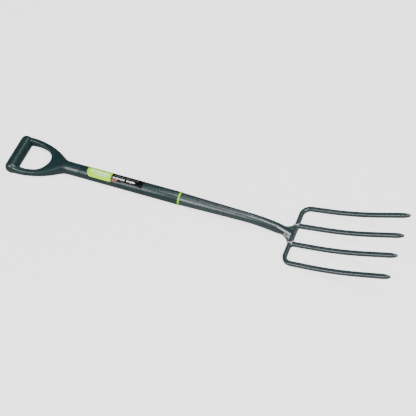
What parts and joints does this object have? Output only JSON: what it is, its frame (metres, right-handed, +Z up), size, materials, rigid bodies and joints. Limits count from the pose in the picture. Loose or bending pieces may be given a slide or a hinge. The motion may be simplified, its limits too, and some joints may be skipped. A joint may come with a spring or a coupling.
{
  "type": "digging fork",
  "caption": "Garden digging fork with a D handle, plastic-sleeved tubular steel shaft, bent tapered neck and a welded head of curved pointed tines.",
  "frame": {"origin": "on the floor, below the middle of the overall box, with the fork lying on its back on its grip and crossbar", "axes": "+X along the tool from the D handle to the tine points, +Z up out of the head's concave front, +Y across the tool; the tool is a mirror image of itself across Y = 0"},
  "size_m": [1.0104, 0.1966, 0.0816],
  "materials": {
    "handle_plastic": "moulded, satin, fine texture",
    "sleeve_plastic": "extruded, satin",
    "lime_trim": "bright lime, satin",
    "lime_print": "printed film with pale abstract pattern",
    "dark_print": "printed film, glossy black",
    "tube_steel": "bare drawn tube",
    "hammered_paint": "dark green-grey hammered enamel",
    "weld_paint": "weld bead under the same enamel",
    "screw_steel": "zinc plated"
  },
  "bodies": {
    "root": {"d_handle": "handle_plastic", "handle_screw": "screw_steel", "shaft_tube": "tube_steel", "shaft_sleeve": "sleeve_plastic", "trim_ring": "lime_trim", "label_lime": "lime_print", "label_dark": "dark_print", "neck_socket": "hammered_paint", "socket_rivet": "hammered_paint", "outer_tine_bow": "hammered_paint", "inner_tine_left": "hammered_paint", "inner_tine_right": "hammered_paint", "socket_weld": "weld_paint", "tine_weld_left": "weld_paint", "tine_weld_right": "weld_paint"}
  },
  "joints": []
}
